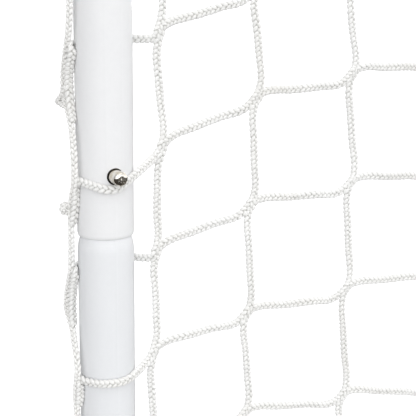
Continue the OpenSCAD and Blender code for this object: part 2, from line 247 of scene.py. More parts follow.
def spring_steel():
    m = Nodes("spring_steel")
    p = m.position()
    mp = m.add("ShaderNodeMapping")
    mp.inputs["Scale"].default_value = (300.0, 3000.0, 300.0)
    m.link(p, mp.inputs["Vector"])
    grain = m.noise(mp.outputs[0], 1.0, 4.0, 0.6)
    col = m.ramp(grain, [(0.3, (0.16, 0.17, 0.20)), (0.6, (0.26, 0.27, 0.31)), (0.8, (0.36, 0.35, 0.34))])
    m.link(col, m.bsdf.inputs["Base Color"])
    m.bsdf.inputs["Metallic"].default_value = 1.0
    m.link(m.maprange(grain, 0.3, 0.7, 0.28, 0.45), m.bsdf.inputs["Roughness"])
    m.link(m.bump(grain, 0.2, 0.00004), m.bsdf.inputs["Normal"])
    return m.mat


def twine(name, fine, lift=0.0):
    """White braided twine. The attribute strand holds the length along the yarn in metres, the turn round it, and a number for each strand."""
    m = Nodes(name)
    a = m.add("ShaderNodeAttribute", attribute_name="strand")
    sep = m.add("ShaderNodeSeparateXYZ")
    m.link(a.outputs["Vector"], sep.inputs[0])
    s, turn, ident = sep.outputs
    comb = m.add("ShaderNodeCombineXYZ")
    m.link(m.math("MULTIPLY", s, 260.0), comb.inputs[0])
    # the turn goes round a circle, so that the fibres have no seam
    ang = m.math("MULTIPLY", turn, 2 * math.pi)
    k = 2.6 if fine else 4.0
    m.link(m.math("MULTIPLY", m.math("COSINE", ang), k), comb.inputs[1])
    m.link(m.math("ADD", m.math("MULTIPLY", m.math("SINE", ang), k), m.math("MULTIPLY", ident, 91.0)), comb.inputs[2])
    fibre = m.noise(comb.outputs[0], 1.6, 4.0, 0.65)
    p = m.position()
    tint = m.noise(p, 26.0, 3.0, 0.6)
    mix = m.math("ADD", m.math("MULTIPLY", tint, 0.55), m.math("MULTIPLY", fibre, 0.45))
    # lift makes a lighter copy with less painted shade between the yarns: painted light for a cord that sits in shade
    # beside the post
    up = 1 + 0.08 * lift
    t = lambda *c: tuple(min(v * up, 0.97) for v in c)
    col = m.ramp(mix, [(0.30, t(0.815, 0.802, 0.772)), (0.50, t(0.872, 0.867, 0.850)), (0.70, t(0.920, 0.918, 0.908))])
    shade = m.add("ShaderNodeMix", data_type="RGBA", blend_type="MULTIPLY")
    shade.inputs[0].default_value = 1.0
    m.link(col, shade.inputs[6])
    if fine:      # painted shade in the hollows between the yarns: darker where the surface lies near the braid's middle
        dep = m.add("ShaderNodeAttribute", attribute_name="depth")
        g = lambda a, b: (a + (1 - a) * lift, a + (1 - a) * lift, b + (1 - b) * lift)
        m.link(m.ramp(dep.outputs["Fac"], [(0.52, g(0.50, 0.48)), (0.78, g(0.78, 0.765)), (0.98, (1.0, 1.0, 1.0))]), shade.inputs[7])
    else:
        # painted shade: the rope has no yarns of its own, so its colour darkens in V-shaped lines where the gaps
        # between stitches would lie in shade
        fold = m.math("ABSOLUTE", m.math("SINE", ang))
        lean = m.math("ADD", m.math("MULTIPLY", s, 2 * math.pi / 0.0024), m.math("MULTIPLY", fold, 2.4))
        vee = m.math("SINE", lean)
        m.link(m.ramp(m.maprange(vee, -1, 1, 0, 1), [(0.02, (0.66, 0.66, 0.64)), (0.35, (0.90, 0.90, 0.89)), (0.7, (1.0, 1.0, 1.0))]), shade.inputs[7])
    m.link(shade.outputs[2], m.bsdf.inputs["Base Color"])
    m.link(m.maprange(fibre, 0.3, 0.7, 0.42, 0.66), m.bsdf.inputs["Roughness"])
    m.bsdf.inputs["Specular IOR Level"].default_value = 0.45
    m.bsdf.inputs["Sheen Weight"].default_value = 0.25
    m.bsdf.inputs["Sheen Roughness"].default_value = 0.4
    if fine:
        n = m.bump(fibre, 0.35, 0.00018)
    else:
        n = m.bump(vee, 0.55, 0.0005)
        n = m.bump(fibre, 0.3, 0.0002, n)
    m.link(n, m.bsdf.inputs["Normal"])
    return m.mat


MAT = {
    "powder_coat": powder_coat("powder_coat_white", (1.0, 1.0, 1.0)),
    "nickel": nickel(),
    "zinc": zinc(),
    "spring_steel": spring_steel(),
}
COOL = powder_coat("powder_coat_white_cool", (0.955, 0.965, 0.976))
# the border cord beside the post gets a lighter copy of the fine twine: painted light for the shade it sits in
TWINE_FINE, TWINE, TWINE_CORD_PAINTED_LIGHTER = twine("twine_braid_fine", True), twine("twine_braid", False), twine("twine_border_painted_lighter", True, 0.55)
slot_of = {s["node"]: s["material_slot"] for s in frame["record"]["subparts"]}
for name, obj in frame["nodes"].items():
    mat = MAT.get(slot_of.get(name))
    if mat is None:
        continue
    if name.endswith("lower_post") or name.endswith("top_rail"):
        mat = COOL
    obj.data.materials.clear()
    obj.data.materials.append(mat)

# ------------------------------------------------------------------ braids
PERIOD = 0.0069      # one full plait; three yarns give a stitch every 2.4 mm


def catmull(P, N, F, sub=8):
    """Dense points through the control points, with their surface normals and flags."""
    P, N, F = np.array(P, float), np.array(N, float), np.array(F, float)
    keep = [0] + [i for i in range(1, len(P)) if np.linalg.norm(P[i] - P[i - 1]) > 2e-4]
    P, N, F = P[keep], N[keep], F[keep]
    if len(P) < 2:
        return P, N, F
    A = np.vstack([2 * P[0] - P[1], P, 2 * P[-1] - P[-2]])
    d = np.maximum(np.linalg.norm(np.diff(A, axis=0), axis=1), 1e-6) ** 0.5
    t = np.concatenate([[0], np.cumsum(d)])
    out, nn, ff = [], [], []
    u = np.linspace(0, 1, sub, endpoint=False)[:, None]
    for i in range(1, len(A) - 2):
        t0, t1, t2, t3 = t[i - 1:i + 3]
        x = t1 + u * (t2 - t1)
        A1 = (t1 - x) / (t1 - t0) * A[i - 1] + (x - t0) / (t1 - t0) * A[i]
        A2 = (t2 - x) / (t2 - t1) * A[i] + (x - t1) / (t2 - t1) * A[i + 1]
        A3 = (t3 - x) / (t3 - t2) * A[i + 1] + (x - t2) / (t3 - t2) * A[i + 2]
        B1 = (t2 - x) / (t2 - t0) * A1 + (x - t0) / (t2 - t0) * A2
        B2 = (t3 - x) / (t3 - t1) * A2 + (x - t1) / (t3 - t1) * A3
        out.append((t2 - x) / (t2 - t1) * B1 + (x - t1) / (t2 - t1) * B2)
        nn.append(N[i - 1] * (1 - u) + N[i] * u)
        ff.append(F[i - 1] * (1 - u[:, 0]) + F[i] * u[:, 0])
    out.append(A[-2][None]), nn.append(N[-1][None]), ff.append(F[-1:])
    return np.vstack(out), unit(np.vstack(nn)), np.concatenate(ff)


def even(P, N, F, step):
    """The same line with points a fixed length apart."""
    d = np.linalg.norm(np.diff(P, axis=0), axis=1)
    s = np.concatenate([[0], np.cumsum(d)])
    n = max(int(round(s[-1] / step)), 2)
    q = np.linspace(0, s[-1], n + 1)
    f = lambda A: np.stack([np.interp(q, s, A[:, i]) for i in range(A.shape[1])], 1)
    return f(P), unit(f(N)), np.interp(q, s, F), q


def axes(P, N):
    T = unit(np.gradient(P, axis=0))
    B = unit(np.cross(T, N))
    return T, B, np.cross(B, T)


class Pile:
    """Rings of many tubes gathered into one mesh."""

    def __init__(self):
        self.v, self.f, self.a, self.d, self.n = [], [], [], [], 0

    def tube(self, centre, U, W, ru, rw, sides, s, ident, close=True, depth=None):
        """A tube round centre whose rings lie along U and W with radii ru and rw, one for each ring or one for each point."""
        k = len(centre)
        th = np.arange(sides) / sides * 2 * math.pi
        ru = np.broadcast_to(np.asarray(ru, float).reshape(-1, 1) if np.ndim(ru) < 2 else ru, (k, sides))
        rw = np.broadcast_to(np.asarray(rw, float).reshape(-1, 1) if np.ndim(rw) < 2 else rw, (k, sides))
        V = centre[:, None] + U[:, None] * (ru * np.cos(th))[..., None] + W[:, None] * (rw * np.sin(th))[..., None]
        A = np.empty((k, sides, 3))
        A[..., 0] = np.asarray(s)[:, None]
        A[..., 1] = th / (2 * math.pi)
        A[..., 2] = ident
        i = np.arange(k - 1)[:, None] * sides
        j = np.arange(sides)[None]
        j2 = (j + 1) % sides
        F = np.stack([i + j, i + j2, i + sides + j2, i + sides + j], -1).reshape(-1, 4) + self.n
        self.v.append(V.reshape(-1, 3)), self.a.append(A.reshape(-1, 3)), self.f.append(F)
        self.d.append(np.ones(k * sides) if depth is None else depth(V).ravel())
        self.n += k * sides
        first = self.n - k * sides
        if close:
            for ring, flip in ((0, True), (k - 1, False)):
                base = first + ring * sides
                self.v.append(centre[ring][None] + (centre[ring] - centre[1 if ring == 0 else k - 2])[None] * 0.6)
                self.a.append(np.array([[s[ring], 0.0, ident]]))
                self.d.append(np.array([0.9]))
                c = self.n
                self.n += 1
                r = base + np.arange(sides)
                r2 = base + (np.arange(sides) + 1) % sides
                tri = np.stack([r2, r, np.full(sides, c), np.full(sides, c)], -1) if flip else np.stack([r, r2, np.full(sides, c), np.full(sides, c)], -1)
                self.f.append(tri)

    def mesh(self, name, squash_floor=True):
        V, A, F = np.vstack(self.v), np.vstack(self.a), np.vstack(self.f)
        if squash_floor:
            V[:, 2] = np.where(V[:, 2] < 0, V[:, 2] * 0.42, V[:, 2])
        tri = F[:, 2] == F[:, 3]
        loops = np.concatenate([F[~tri].ravel(), F[tri][:, :3].ravel()])
        nq, nt = int((~tri).sum()), int(tri.sum())
        starts = np.concatenate([np.arange(nq) * 4, nq * 4 + np.arange(nt) * 3])
        me = bpy.data.meshes.new(name)
        me.vertices.add(len(V))
        me.vertices.foreach_set("co", V.astype(np.float32).ravel())
        me.loops.add(len(loops))
        me.loops.foreach_set("vertex_index", loops.astype(np.int32))
        me.polygons.add(nq + nt)
        me.polygons.foreach_set("loop_start", starts.astype(np.int32))
        me.polygons.foreach_set("use_smooth", np.ones(nq + nt, bool))
        me.update(calc_edges=True)
        at = me.attributes.new("strand", "FLOAT_VECTOR", "POINT")
        at.data.foreach_set("vector", A.astype(np.float32).ravel())
        # depth: distance from the braid's middle, which the fine twine turns into painted shade
        dp = me.attributes.new("depth", "FLOAT", "POINT")
        dp.data.foreach_set("value", np.concatenate(self.d).astype(np.float32))
        me.validate()
        return me


def wander(rng, s, lengths=(0.011, 0.023, 0.047), power=1.0):
    """A slow random line along s, seeded, about -1 to 1."""
    out = np.zeros_like(s)
    for L in lengths:
        out += np.sin(2 * math.pi * s / (L * rng.uniform(0.8, 1.25)) + rng.uniform(0, 2 * math.pi))
    return power * out / len(lengths) ** 0.5 / 1.2


def braid(pile, P, N, rng, s0=0.0, half=0.00198, thick=0.0012, step=0.0005, sides=8, period=PERIOD, twist=0.3):
    """A flat three-yarn braid along P."""
    F = np.zeros(len(P))
    P, N, F, q = even(P, N, F, step)
    s = q + s0
    T, B, W = axes(P, N)
    a = twist * wander(rng, s, (0.031, 0.052, 0.083))[:, None]
    B, W = B * np.cos(a) + W * np.sin(a), W * np.cos(a) - B * np.sin(a)
    grow = 1 + 0.05 * wander(rng, s, (0.008, 0.017, 0.034))
    ph = 2 * math.pi * s / period + 0.55 * wander(rng, s, (0.019, 0.037))
    r = 0.45 * half
    for i in range(3):
        t = ph + 2 * math.pi * i / 3
        off_b = (half - r * 0.98) * np.sin(t) * grow
        off_n = (thick - r * 0.80) * np.sin(2 * t) * 0.98
        c = P + B * off_b[:, None] + W * off_n[:, None]
        # ring axes follow the yarn's own slant
        Ty = unit(np.gradient(c, axis=0))
        U = unit(B - (B * Ty).sum(1, keepdims=True) * Ty)
        V = np.cross(Ty, U)
        fat = 1 + 0.07 * wander(rng, s, (0.0021, 0.0053))
        # each point's distance from the braid's middle; the fine twine paints shade where it is small
        depth = lambda X: np.hypot(((X - P[:, None]) * B[:, None]).sum(-1) / half, ((X - P[:, None]) * W[:, None]).sum(-1) / thick)
        pile.tube(c, U, V, r * 1.08 * fat, r * 0.96 * fat, sides, s * 1.2, rng.uniform(0, 1), True, depth)


def rope(pile, P, N, rng, s0=0.0, half=0.0020, thick=0.00115, step=0.00165, sides=6):
    """The same cord further from the eye: one tube whose sides bulge in turn, as the stitches do."""
    P, N, F, q = even(P, N, np.zeros(len(P)), step)
    s = q + s0
    T, B, W = axes(P, N)
    a = 0.5 * wander(rng, s, (0.031, 0.052, 0.083))[:, None]
    B, W = B * np.cos(a) + W * np.sin(a), W * np.cos(a) - B * np.sin(a)
    alt = np.where(np.arange(len(P)) % 2 == 0, 1.0, -1.0)
    c = P + B * (alt * 0.14 * half)[:, None]
    grow = 1 + 0.05 * wander(rng, s, (0.008, 0.017, 0.034))
    pile.tube(c, B, W, half * 0.96 * grow, thick * grow, sides, s, rng.uniform(0, 1), True)


# ------------------------------------------------------------------ wrapping round a tube
RW = R + 0.0013      # the strand's middle round a tube


def wrap(node, C, e1, e2, side, phi_end, r_end, dip=0.0, f0=0.30, f1=0.9, under=0.0):
    """From a net node round the tube at C to the border cord: side +1 goes round the e2 side, -1 the other. Points and normals from the node's end to the cord's end."""
    e1, e2 = unit(e1), unit(e2)
    ax = np.cross(e1, e2)
    rel = np.asarray(node, float) - C
    a, b, h = rel @ e1, (rel @ e2) * side, rel @ ax
    D = max(math.hypot(a, b), RW * 1.02)
    t0 = math.atan2(b, a) + math.acos(RW / D)
    phis = np.arange(t0, math.radians(phi_end) + 0.001, math.radians(11))
    phis = np.append(phis, math.radians(phi_end)) if phis[-1] < math.radians(phi_end) - 0.05 else phis
    k = (phis - t0) / max(phis[-1] - t0, 1e-6)
    r = RW + (r_end - RW) * smooth((k - 0.75) / 0.25)
    hh = h * (1 - smooth(f0 + f1 * k)) - dip * ax[2] * np.sin(np.clip(k, 0, 1) ** 1.5 * math.pi)      # a strand sags between its ends
    hh = hh - under * ax[2] * np.exp(-((phis - math.radians(98)) / math.radians(38)) ** 2)      # and ducks under the button
    P, N = [], []
    for f, rr, z in zip(phis, r, hh):
        rad = e1 * math.cos(f) + e2 * (side * math.sin(f))
        P.append(C + rad * rr + ax * z)
        N.append(side * rad)
    return P, N


# ------------------------------------------------------------------ panels


class Panel:
    """A grid of net nodes. Columns i run away from the edge on the left, rows k run down. Each braid comes down to a node and leaves to the left, or comes from the right and leaves down."""

    def __init__(self, nodes, ends, detail, seed):
        self.nodes, self.ends, self.detail = nodes, ends, detail
        self.rng = np.random.default_rng(seed)

    def lines(self):
        N = self.nodes
        made = []
        for (i, k) in sorted(N, key=lambda q: (q[1], q[0])):
            for entry in ("above", "right"):
                before = (i, k - 1) if entry == "above" else (i + 1, k)
                if before in N:
                    continue
                pts = self.ends((i, k), entry)
                line = [(p, n, 0) for p, n in reversed(pts)] if pts else []
                line += self.walk((i, k), entry)
                if len(line) > 3:
                    made.append(line)
        return made

    def diag(self, q):
        N, P = self.nodes, self.nodes[q][0]
        i, k = q
        v = np.zeros(3)
        for o, sign in (((i + 1, k), 1), ((i, k - 1), 1), ((i - 1, k), -1), ((i, k + 1), -1)):
            if o in N:
                v += sign * unit(P - N[o][0])
        if np.linalg.norm(v) < 0.3:
            v = np.array([0, -0.6, -0.8])
        n = N[q][1]
        v = v - (v @ n) * n
        return unit(v)

    def walk(self, q, entry):
        N, rng, line = self.nodes, self.rng, []
        while True:
            P, n = N[q]
            d = self.diag(q)
            lat = unit(np.cross(n, d))
            # towards the upper left for the braid that comes from above
            o = (q[0] - 1, q[1])
            ref = (P - N[(q[0] + 1, q[1])][0]) if (q[0] + 1, q[1]) in N else ((N[o][0] - P) if o in N else -self.cols(q))
            if lat @ ref < 0:
                lat = -lat
            off = lat * (0.00105 if entry == "above" else -0.00105)
            L = 0.0026
            lift = n * (0.0004 if entry == "above" else -0.0004)
            hi = self.detail(q)
            for t in (-1.0, 0.0, 1.0):
                line.append((P + d * (L * t) + off * (1.0 if t == 0 else 0.78) + lift * (1 if t == 0 else 0), n, hi))
            leave = "left" if entry == "above" else "down"
            nxt = (q[0] - 1, q[1]) if leave == "left" else (q[0], q[1] + 1)
            if nxt not in N:
                for p, m in self.ends(q, leave) or []:
                    line.append((p, m, hi))
                return line
            P2, n2 = N[nxt]
            d2 = self.diag(nxt)
            a, b = P + d * L, P2 - d2 * L
            chord = b - a
            span = np.linalg.norm(chord)
            inplane = unit(np.cross(n, chord))
            bow = inplane * rng.uniform(-0.0010, 0.0010) + n * rng.uniform(-0.0012, 0.0012)
            sag = np.array([0, 0, -0.0007]) if leave == "left" else 0
            h2 = self.detail(nxt)
            c = unit(chord)
            s1, s2 = d - c, c - d2      # how the strand turns out of and into its nodes
            for t in (0.14, 0.36, 0.64, 0.86):
                amp1, amp2 = (0.0054, 0.0022) if leave == "left" else (0.0024, 0.0024)
                bend = s1 * (amp1 * math.exp(-t * 5)) + s2 * (amp2 * math.exp(-(1 - t) * 5))
                line.append((a + chord * t + bend + (bow + sag) * math.sin(math.pi * t), n * (1 - t) + n2 * t, hi if t < 0.5 else h2))
            entry = "right" if leave == "left" else "above"
            q = nxt

    def cols(self, q):
        """Roughly the way that the columns run, away from the left edge."""
        i, k = q
        for o in ((i + 1, k), (i - 1, k)):
            if o in self.nodes:
                return (self.nodes[o][0] - self.nodes[q][0]) * (o[0] - i)
        return np.array([0, 1.0, 0])


def tuck(P, N, seam=False):
    """Draws the cloth in from its square rear corners to the rounded corners of the hoop and the rear rail, and round one line between them."""
    x, y, z = np.abs(P[:, 0]), P[:, 1], P[:, 2]
    t = np.clip((ZH - z) / (ZH - R), 0, 1)
    xc, yc = XH - BEND_R + t * (XP - XH), YH - BEND_R + t * (YR - YH)
    dx, dy = XP - xc, REAR_A[0] + (REAR_A[1] - z) / (REAR_A[1] - REAR_B[1]) * (REAR_B[0] - REAR_A[0]) - yc
    ax, ay = x - xc, y - yc
    on = (ax > 0) & (ay > 0)
    th, d = np.arctan2(np.maximum(ay, 1e-9), np.maximum(ax, 1e-9)), np.hypot(ax, ay)
    c, s = np.maximum(np.cos(th), 1e-6), np.maximum(np.sin(th), 1e-6)
    stand = np.minimum((dx + 0.005 * smooth(th / 0.75)) / c, dy / s)
    arc = 1 / np.sqrt((c / dx) ** 2 + (s / dy) ** 2)
    w = np.ones_like(z) if seam else smooth((z - 0.022) / 0.012)
    move = np.where(on & (d > arc), w * (d - np.maximum(d - (stand - arc), arc)), 0.0)
    sx = np.where(P[:, 0] < 0, -1.0, 1.0)
    rad = np.stack([sx * c, s, np.zeros_like(c)], 1)
    m = smooth(move / 0.012)[:, None]
    side = np.where((N * rad).sum(1) < 0, -1.0, 1.0)[:, None]
    return P - rad * move[:, None], unit(N * (1 - m) + rad * side * m)


def lay(panel, coarse, fine):
    rng = panel.rng
    for line in panel.lines():
        P = [x[0] for x in line]
        N = [x[1] for x in line]
        F = [x[2] for x in line]
        P, N, F = catmull(P, N, F)
        P, N = tuck(P, N)
        s = np.concatenate([[0], np.cumsum(np.linalg.norm(np.diff(P, axis=0), axis=1))])
        hi = F > 0.5
        start = 0
        for j in range(1, len(P) + 1):
            if j == len(P) or hi[j] != hi[start]:
                a, b = max(start - 1, 0), min(j + 1, len(P))
                if b - a >= 3:
                    (braid if hi[start] else rope)(fine if hi[start] else coarse, P[a:b], N[a:b], rng, s[a])
                start = j


# ------------------------------------------------------------------ side panels
PITCH = 0.0505
MEAS = {   # (column, row): (behind the post's axis, height), mm; how this net hangs beside the joint
    (0, 0): (24.9, 649.8), (0, 1): (26.2, 598.7), (0, 2): (23.3, 549.9), (0, 3): (22.2, 501.2), (0, 4): (22.4, 450.4),
    (1, 0): (70.5, 669.3), (1, 1): (71.6, 620.2), (1, 2): (69.7, 569.7), (1, 3): (68.7, 515.8), (1, 4): (68.6, 463.9),
    (2, 0): (119.1, 680.9), (2, 1): (121.0, 630.4), (2, 2): (122.3, 577.3), (2, 3): (122.0, 523.2), (2, 4): (122.8, 465.9),
    (3, 0): (166.5, 687.7), (3, 1): (170.3, 636.9), (3, 2): (174.3, 582.0), (3, 3): (178.1, 529.5), (3, 4): (182.8, 462.7),
}
BORDER_Z = {0: 644.5, 1: 586.4, 2: 544.5, 3: 494.0, 4: 443.0}
TAILS = {   # how the row strands run on beside the border cord, mm: inward, in front of the axis, height
    0: [(0.8, -14.5, 641.6), (-1.3, -14.6, 637.0), (-3.4, -14.6, 631.4), (-3.8, -14.6, 625.2), (-2.3, -14.6, 619.2), (-0.6, -14.6, 615.0), (1.0, -14.8, 611.7)],
    1: [(2.0, -14.4, 582.8), (1.7, -14.4, 579.1), (0.9, -14.4, 574.5), (-0.2, -14.6, 569.8), (-1.5, -15.0, 565.8)],
    2: [(-0.8, -14.6, 541.6), (-3.0, -14.6, 537.2), (-4.7, -14.6, 531.0), (-5.6, -14.6, 525.5), (-5.0, -14.6, 521.9), (-3.8, -14.8, 517.9)],
    3: [(2.6, -14.4, 491.5), (2.4, -14.4, 488.5), (2.2, -14.4, 484.5), (1.2, -14.8, 480.4)],
}
DROOP = [0.025, 0.0075, 0.0] + [0.0] * 12
ROWS = range(-9, 13)

TOP_A = np.array([YF + R + 0.008, ZT - 0.005])      # y, z at the front of the shelf's edge
TOP_B = np.array([YH - 0.016, ZH + R + 0.0046])
REAR_A = np.array([YH + 0.015, ZH + 0.006])
REAR_B = np.array([YR + 0.011, 0.024])


def z_top(y):
    t = (y - TOP_A[0]) / (TOP_B[0] - TOP_A[0])
    return TOP_A[1] + min(t, 1.08) * (TOP_B[1] - TOP_A[1])


def y_rear(z):
    t = (REAR_A[1] - z) / (REAR_A[1] - REAR_B[1])
    return REAR_A[0] + t * (REAR_B[0] - REAR_A[0])


def belly(y, z):
    depth = max(y_rear(z) - YF, 0.2)
    b = 0.022 * math.sin(math.pi * min(max((y - YF) / max(depth, 0.5), 0), 1))
    return b * float(smooth((1.0 - z) / 0.20)) * float(smooth((z - 0.035) / 0.16))


def foot_axis(theta):
    """The foot bend's axis at an angle from level forward, in y and z."""
    return np.array([YF + BEND_F - BEND_F * math.cos(theta), R + BEND_F - BEND_F * math.sin(theta)])


def side_panel(sign, measured, seed):
    """sign -1 is the left side. Its own coordinate c runs inward from the posts' plane."""
    rng = np.random.default_rng(seed)
    world = lambda c, y, z: np.array([sign * (XP - c), y, z])
    inner = np.array([-sign * 1.0, 0, 0])
    nodes, rz = {}, {}
    wi = [1, 1, 1, 1, 0.6, 0.3, 0.1] + [0] * 10
    wk = {-4: 0.05, -3: 0.2, -2: 0.45, -1: 0.8, 0: 1, 1: 1, 2: 1, 3: 1, 4: 1, 5: 0.8, 6: 0.45, 7: 0.2, 8: 0.05}
    for i in range(12):
        for k in ROWS:
            y = YF + 0.026 + PITCH * i
            z = 0.5755 - PITCH * (k - 2) - DROOP[i] * (1 if measured else rng.uniform(0.6, 1.1))
            y += rng.normal(0, 0.0012)
            z += rng.normal(0, 0.0012)
            if measured:
                w = wi[i] * wk.get(k, 0)
                ii, kk = min(i, 3), min(max(k, 0), 4)
                my, mz = MEAS[(ii, kk)]
                dy = YF + my * MM - (YF + 0.026 + PITCH * ii)
                dz = mz * MM - (0.5755 - PITCH * (kk - 2) - DROOP[ii])
                if i <= 3 and 0 <= k <= 4:
                    y, z = YF + my * MM, mz * MM
                else:
                    y, z = y + w * dy, z + w * dz
            c = belly(y, z)
            if z < R + BEND_F and y < YF + BEND_F:
                v = np.array([y - YF - BEND_F, z - R - BEND_F])
                r = np.linalg.norm(v)
                if r > 0.050:
                    v *= 0.050 / r
                    y, z = YF + BEND_F + v[0], R + BEND_F + v[1]
            if z < 0.036 or z > z_top(y) - 0.004 or y > y_rear(z) - 0.010:
                continue
            nodes[(i, k)] = (world(c, y, z), inner)
            if i == 0:
                rz[k] = z

    def ends(q, way):
        i, k = q
        P, n = nodes[q]
        y, z, c = P[1], P[2], XP - abs(P[0])
        if way == "left" or (way == "down"):
            odd = (k % 2 == 1) if way == "left" else (i % 2 == 1)
            side = 1 if odd else -1
            corner = z < R + BEND_F + 0.004 and y < YF + BEND_F + 0.004
            if corner:
                v = np.array([y - YF - BEND_F, z - R - BEND_F])
                th = math.atan2(-v[1], -v[0]) + (-0.28 if way == "left" else 0.28)
                th = min(max(th, 0.05), math.pi / 2)
                fy, fz = foot_axis(th)
                e1 = np.array([0, math.cos(th), math.sin(th)])
                al = math.radians(49.6) * float(smooth(th / (math.pi / 2)))
                C = np.array([sign * XP, fy, fz])
                P2, N2 = wrap(P, C, e1, inner, side, 180 + side * math.degrees(al), 0.0156)
                return list(zip(P2, N2))
            if way == "left":
                zb = z - 0.008
                if measured and k in BORDER_Z:
                    zb = BORDER_Z[k] * MM
                x = sign * XP
                if zb > ZT - BEND_T:
                    x = sign * (XP - BEND_T + math.sqrt(max(BEND_T ** 2 - (zb - ZT + BEND_T) ** 2, 0)))
                C = np.array([x, YF, zb])
                dip = 0.0003
                P2, N2 = wrap(P, C, [0, 1, 0], inner, side, 176, R + 0.0018, dip=dip, f0=0.80 if side == 1 else 0.55, f1=0.7, under=0.0032 if measured and k == 1 else 0.0)
                out = list(zip(P2, N2))
                # the strand turns and runs on beside the border cord
                if measured and k in TAILS:
                    for tc, ty, tz in TAILS[k]:
                        out.append((np.array([x - sign * tc * MM, YF + ty * MM, tz * MM]), inner))
                    return out
                if side == 1:
                    tail = [(0.0010, -0.0142, -0.0022), (0.0013, -0.0141, -0.0080), (0.0010, -0.0142, -0.0150), (-0.0006, -0.0150, -0.0215)]
                else:
                    tail = [(0.0010, -0.0140, -0.0040), (0.0022, -0.0138, -0.0120), (0.0022, -0.0138, -0.0220), (0.0006, -0.0148, -0.0310)]
                for dc, dy, dz in tail:
                    out.append((np.array([x - sign * dc, YF + dy, zb + dz]), inner))
                return out
            x, yy = sign * XP, y
            if y > YR - BEND_R:
                x = sign * (XP - BEND_R + math.sqrt(max(BEND_R ** 2 - (y - YR + BEND_R) ** 2, 0)))
            C = np.array([x, yy, R])
            P2, N2 = wrap(P, C, [0, 0, 1], inner, side, 180 + side * 49.6, 0.0156)
            return list(zip(P2, N2))
        if way == "above":
            # straight up to the shelf's edge, or to the rear seam where that comes first
            zs = REAR_A[1] - (y - REAR_A[0]) / (REAR_B[0] - REAR_A[0]) * (REAR_A[1] - REAR_B[1])
            if zs < z_top(y):
                return [(world(-0.002, y - 0.0005, zs - 0.010), n), (world(-0.005, y + 0.0003, zs - 0.001), n)]
            yt, zt = y, z_top(y)
            return [(world(0.0005, yt, zt - 0.012), n), (world(0.0040, yt, zt - 0.002), n), (world(0.007, yt, zt), n)]
        # from behind: the rear seam, or the shelf's edge where that comes first
        yr = y_rear(z)
        if z > TOP_B[1]:
            ye = TOP_A[0] + (TOP_A[1] - z) / (TOP_A[1] - TOP_B[1]) * (TOP_B[0] - TOP_A[0])
            return [(world(0.0015, max(ye - 0.008, y + 0.003), z - 0.001), n), (world(0.007, ye, z), n)]
        return [(world(-0.0022, yr - 0.007, z), n), (world(-0.005, yr, z + 0.001), n)]

    def detail(q):
        return 1 if (measured and q[0] <= 3 and -1 <= q[1] <= 5) else 0

    return Panel(nodes, ends, detail, seed + 50)


# ------------------------------------------------------------------ top and back in one cloth
SLOPE = np.array([YH - YF, (ZH + R + 0.0016) - ZT])
RH = R + 0.0017


def top_back_line():
    """y, z and outward normal along the cloth, from the crossbar's axis over the hoop and down to the rear rail."""
    u = unit(np.array([YR - YH, R - ZH]))
    nb = np.array([-u[1], u[0]])
    nb = nb if nb[0] > 0 else -nb
    # tangent from the crossbar's axis to the hoop's circle
    d = np.array([YH - YF, ZH - ZT])
    L = np.linalg.norm(d)
    base = math.atan2(d[1], d[0])
    off = math.asin(RH / L)
    ang = base + off
    t1 = np.array([math.cos(ang), math.sin(ang)])
    n1 = np.array([-t1[1], t1[0]])
    touch = np.array([YH, ZH]) + n1 * RH
    pts = [np.array([YF, ZT]) + t1 * s for s in np.linspace(0, math.sqrt(L * L - RH * RH), 40)]
    nrm = [n1] * 40
    a1, a2 = math.atan2(n1[1], n1[0]), math.atan2(nb[1], nb[0])
    for a in np.linspace(a1, a2, 12)[1:-1]:
        v = np.array([math.cos(a), math.sin(a)])
        pts.append(np.array([YH, ZH]) + v * RH), nrm.append(v)
    for s in np.linspace(0, 1, 60):
        pts.append(np.array([YH, ZH]) * (1 - s) + np.array([YR, R]) * s + nb * RH), nrm.append(nb)
    pts, nrm = np.array(pts), np.array(nrm)
    s = np.concatenate([[0], np.cumsum(np.linalg.norm(np.diff(pts, axis=0), axis=1))])
    return pts, nrm, s


TB_P, TB_N, TB_S = top_back_line()
S_HOOP = math.sqrt((YH - YF) ** 2 + (ZH - ZT) ** 2 - RH ** 2) + 0.5 * RH * 1.0


def tb(x, s):
    y, z = np.interp(s, TB_S, TB_P[:, 0]), np.interp(s, TB_S, TB_P[:, 1])
    n = unit([np.interp(s, TB_S, TB_N[:, 0]), np.interp(s, TB_S, TB_N[:, 1])])
    if s < S_HOOP:
        sag = -0.011 * math.sin(math.pi * min(max(s / S_HOOP, 0), 1)) * float(smooth((XP - 0.012 - abs(x)) / 0.20))
    else:
        t = (s - S_HOOP) / (TB_S[-1] - S_HOOP)
        sag = -0.009 * math.sin(math.pi * min(max(t, 0), 1)) ** 0.8 * float(smooth((XP - abs(x)) / 0.20))
    return np.array([x, y + n[0] * sag, z + n[1] * sag]), np.array([0, n[0], n[1]])


def edge_x(s):
    """Half the cloth's width: to the seam on the shelf, and to the rear seam down the back."""
    return XP - 0.007 if s < S_HOOP - 0.02 else XP + 0.005 * float(smooth((s - S_HOOP + 0.02) / 0.04)) - 0.007 * (1 - float(smooth((s - S_HOOP + 0.02) / 0.04)))


